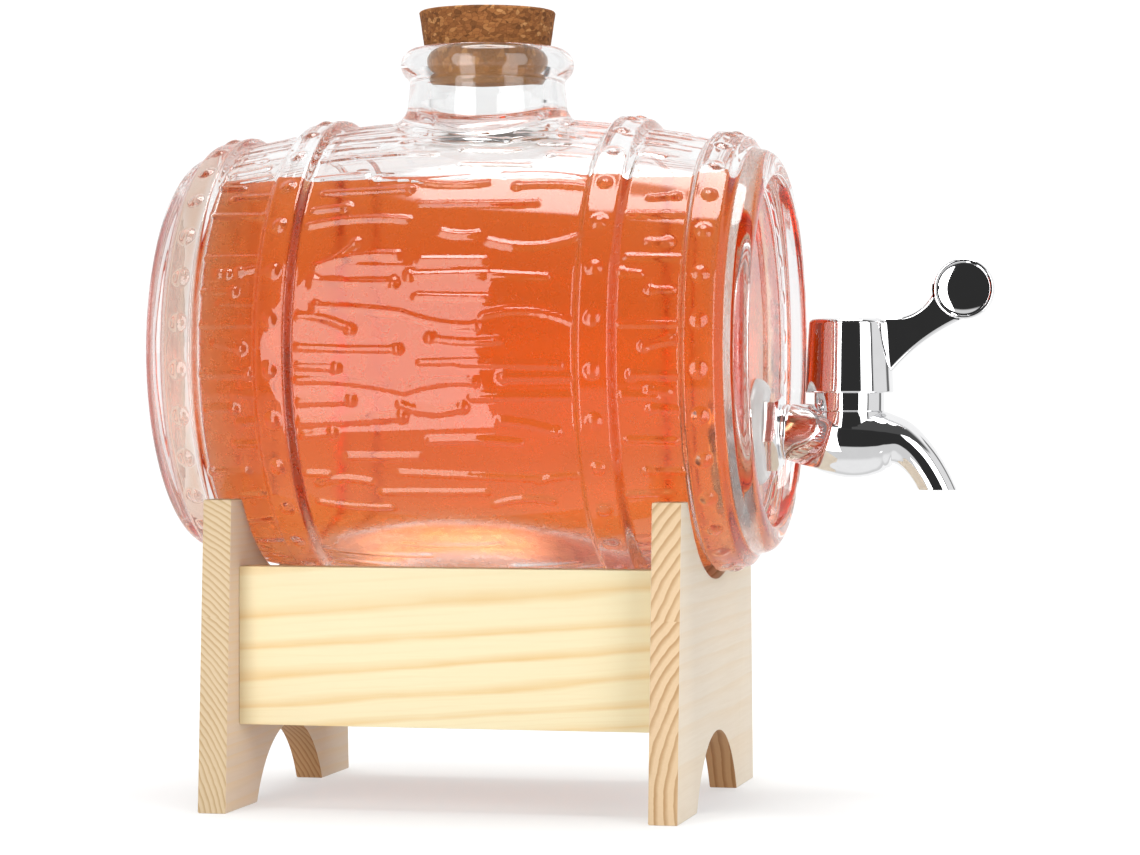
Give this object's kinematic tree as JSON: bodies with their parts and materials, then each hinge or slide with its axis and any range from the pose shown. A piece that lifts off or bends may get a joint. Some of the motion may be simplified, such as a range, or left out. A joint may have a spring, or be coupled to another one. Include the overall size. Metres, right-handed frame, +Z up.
{
  "type": "glass barrel drinks dispenser",
  "caption": "Pressed-glass barrel drinks dispenser lying in a wooden cradle stand, with a bottle neck and cork stopper on top and a quarter-turn chrome lever tap in its front head.",
  "frame": {"origin": "middle of the bounding box in plan, on the floor under the stand's feet", "axes": "+X along the barrel axis towards the tap and lever, +Y sideways away from the picture's camera, +Z up through the neck"},
  "size_m": [0.1968, 0.1146, 0.1926],
  "materials": {
    "pine": "sanded, bare",
    "dowel_wood": "bare",
    "clear_glass": "polished, pressed",
    "cork": "pressed granules, matte",
    "chrome": "mirror polished",
    "shank_steel": "turned",
    "silicone": "translucent white",
    "plug_brass": "turned",
    "black_rubber": "matte",
    "white_plastic": "matte",
    "drink": "clear orange-red drink"
  },
  "bodies": {
    "stand": {"stand_front_board": "pine", "stand_rear_board": "pine", "stand_near_rail": "pine", "stand_far_rail": "pine", "stand_dowels": "dowel_wood"},
    "vessel": {"glass_barrel": "clear_glass", "tap_shank": "shank_steel", "shank_inner_gasket": "silicone", "shank_outer_gasket": "silicone", "shank_hex_nut": "chrome", "tap_lock_ring": "chrome", "tap_body": "chrome", "tap_bonnet": "chrome"},
    "cork": {"cork_stopper": "cork"},
    "lever": {"valve_plug": "plug_brass", "plug_o_rings": "black_rubber", "plug_thrust_washer": "white_plastic", "tap_lever": "chrome"}
  },
  "joints": [
    {"name": "vessel_lift", "type": "slide", "parent": "stand", "child": "vessel", "axis": [0, 0, 1], "range_m": [0, 0.06]},
    {"name": "cork_pull", "type": "slide", "parent": "vessel", "child": "cork", "axis": [0, 0, 1], "range_m": [0, 0.04]},
    {"name": "lever_turn", "type": "hinge", "parent": "vessel", "child": "lever", "pos_m": [0.06367, 0, 0.095], "axis": [0, 0, 1], "range_deg": [-90, 0]}
  ]
}
